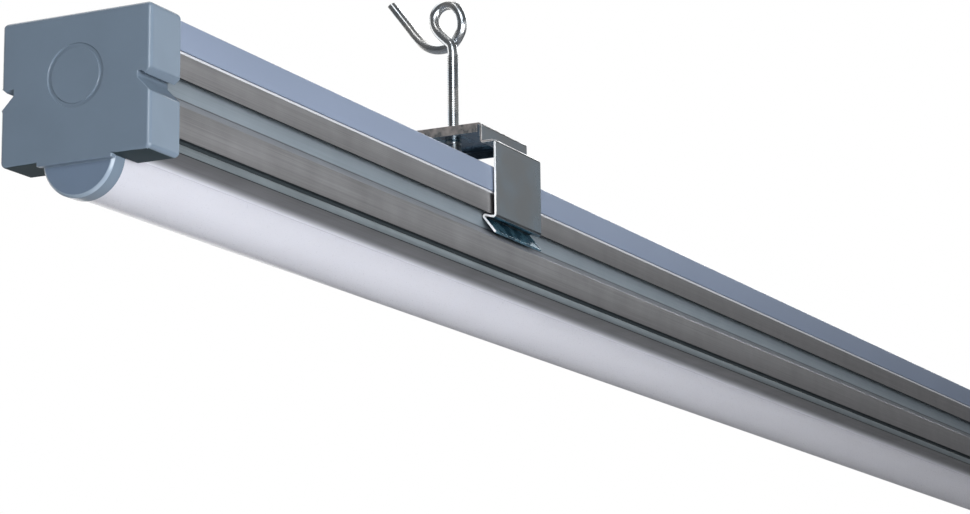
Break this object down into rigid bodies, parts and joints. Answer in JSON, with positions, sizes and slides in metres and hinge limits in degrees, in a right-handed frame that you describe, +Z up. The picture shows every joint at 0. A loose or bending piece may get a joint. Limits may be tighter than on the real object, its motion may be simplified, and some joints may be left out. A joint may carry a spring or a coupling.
{
  "type": "linear light fixture",
  "caption": "Suspended linear light: extruded aluminium body with moulded end caps, half-round opal lens, sliding spring clips and screw-in pigtail hooks.",
  "frame": {"origin": "centre of the fixture's top face, midway between the two suspension clips", "axes": "+X along the fixture from the closed end cap to the cable gland, +Y across it, +Z up"},
  "size_m": [1.5198, 0.0662, 0.1538],
  "materials": {
    "extruded_aluminium": "mill finish with fine lines along the extrusion, satin",
    "blue_grey_paint": "satin powder coat",
    "opal_plastic": "opal white, satin gloss",
    "blue_grey_plastic": "moulded, satin",
    "black_rubber": "matt",
    "white_board": "white solder mask, satin",
    "yellow_phosphor": "silicone over phosphor",
    "zinc_fasteners": "bright zinc",
    "white_plastic": "moulded, satin",
    "white_paint": "satin",
    "brown_sleeve": "cable sleeve",
    "blue_sleeve": "cable sleeve",
    "green_sleeve": "cable sleeve",
    "brass_tag": "tinned brass",
    "green_lacquer": "green lacquered head",
    "red_sleeve": "cable sleeve",
    "grey_nylon": "moulded nylon, satin",
    "zinc_sheet": "zinc plated spring sheet",
    "zinc_turned": "bright zinc, turned",
    "zinc_wire": "bright zinc plated wire"
  },
  "bodies": {
    "luminaire": {"housing": "extruded_aluminium", "top_cover": "blue_grey_paint", "diffuser": "opal_plastic", "end_cap_near": "blue_grey_plastic", "end_cap_far": "blue_grey_plastic", "end_gasket_near": "black_rubber", "end_gasket_far": "black_rubber", "led_board_1": "white_board", "led_board_2": "white_board", "led_board_3": "white_board", "led_chips": "yellow_phosphor", "board_screws": "zinc_fasteners", "board_plugs": "white_plastic", "driver_case": "white_paint", "driver_lid": "white_paint", "driver_screws": "zinc_fasteners", "driver_input_block": "white_plastic", "driver_output_block": "white_plastic", "terminal_block": "white_plastic", "live_lead": "brown_sleeve", "neutral_lead": "blue_sleeve", "earth_lead": "green_sleeve", "earth_tag": "brass_tag", "earth_screw": "green_lacquer", "led_lead": "red_sleeve", "shelf_grommet": "black_rubber", "gland_washer": "black_rubber", "gland_body": "grey_nylon", "gland_locknut": "grey_nylon", "gland_seal": "black_rubber", "gland_dome_nut": "grey_nylon"},
    "clip_near": {"clip_near": "zinc_sheet"},
    "bush_near": {"hook_bush_near": "zinc_turned"},
    "hook_near": {"hook_near": "zinc_wire"},
    "clip_far": {"clip_far": "zinc_sheet"},
    "bush_far": {"hook_bush_far": "zinc_turned"},
    "hook_far": {"hook_far": "zinc_wire"}
  },
  "joints": [
    {"name": "clip_near_slide", "type": "slide", "parent": "luminaire", "child": "clip_near", "axis": [1, 0, 0], "range_m": [-0.25, 0.4]},
    {"name": "hook_near_turn", "type": "hinge", "parent": "clip_near", "child": "bush_near", "pos_m": [-0.456, 0, 0.0197], "axis": [0, 0, 1], "range_deg": [-1080, 2160]},
    {"name": "hook_near_screw", "type": "slide", "parent": "bush_near", "child": "hook_near", "axis": [0, 0, 1], "range_m": [-0.0025, 0.0049]},
    {"name": "clip_far_slide", "type": "slide", "parent": "luminaire", "child": "clip_far", "axis": [1, 0, 0], "range_m": [-0.4, 0.25]},
    {"name": "hook_far_turn", "type": "hinge", "parent": "clip_far", "child": "bush_far", "pos_m": [0.456, 0, 0.0197], "axis": [0, 0, 1], "range_deg": [-1080, 2160]},
    {"name": "hook_far_screw", "type": "slide", "parent": "bush_far", "child": "hook_far", "axis": [0, 0, 1], "range_m": [-0.0025, 0.0049]}
  ],
  "couplings": [
    {"joint": "hook_near_screw", "follows": "hook_near_turn", "m_per_rad": 0.00012732},
    {"joint": "hook_far_screw", "follows": "hook_far_turn", "m_per_rad": 0.00012732}
  ]
}
